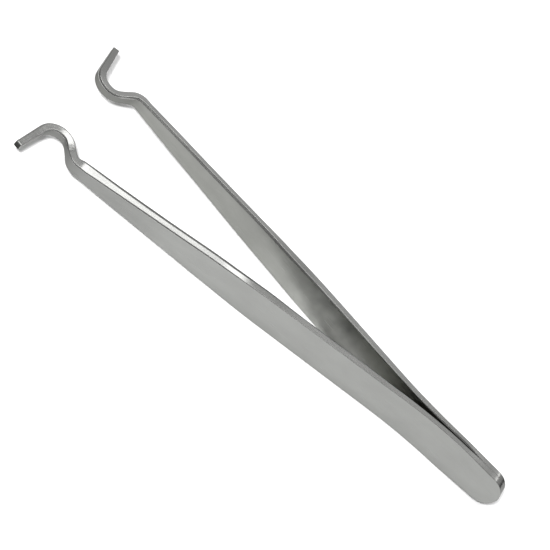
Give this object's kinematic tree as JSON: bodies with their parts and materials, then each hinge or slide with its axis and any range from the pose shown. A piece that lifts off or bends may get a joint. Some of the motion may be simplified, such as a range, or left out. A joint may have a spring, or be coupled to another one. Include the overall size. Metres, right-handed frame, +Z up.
{
  "type": "precision tweezers",
  "caption": "Stainless steel tweezers with splayed spring arms joined at the tail, each ending in an S-shaped hook whose tip turns outward to hold hollow work from inside.",
  "frame": {"origin": "centre of the bottom of the bounding box, with the tweezers lying on the long lower edges of their arms", "axes": "+X from the tail to the tips, +Y towards the left arm across the opening, +Z up across the strip's width"},
  "size_m": [0.15, 0.0488, 0.0117],
  "materials": {
    "arm_steel": "satin, fine grain along the arm",
    "hook_steel": "satin, more polished on its rounded edges",
    "weld_steel": "dull, heat-tinted, hidden between the tails"
  },
  "bodies": {
    "tails": {"left_tail": "arm_steel", "right_tail": "arm_steel", "rear_spot_weld": "weld_steel", "front_spot_weld": "weld_steel"},
    "left_arm": {"left_blade": "arm_steel", "left_hook": "hook_steel"},
    "right_arm": {"right_blade": "arm_steel", "right_hook": "hook_steel"}
  },
  "joints": [
    {"name": "left_arm_flex", "type": "hinge", "parent": "tails", "child": "left_arm", "pos_m": [-0.03763, 0.00246, 0.00557], "axis": [-0.0141, 0, -0.9999], "range_deg": [0, 5.3], "stiffness_Nm_per_rad": 8},
    {"name": "right_arm_flex", "type": "hinge", "parent": "tails", "child": "right_arm", "pos_m": [-0.03763, -0.00246, 0.00557], "axis": [0.0141, 0, 0.9999], "range_deg": [0, 5.3], "stiffness_Nm_per_rad": 8}
  ],
  "couplings": [
    {"joint": "right_arm_flex", "follows": "left_arm_flex", "ratio": 1}
  ]
}
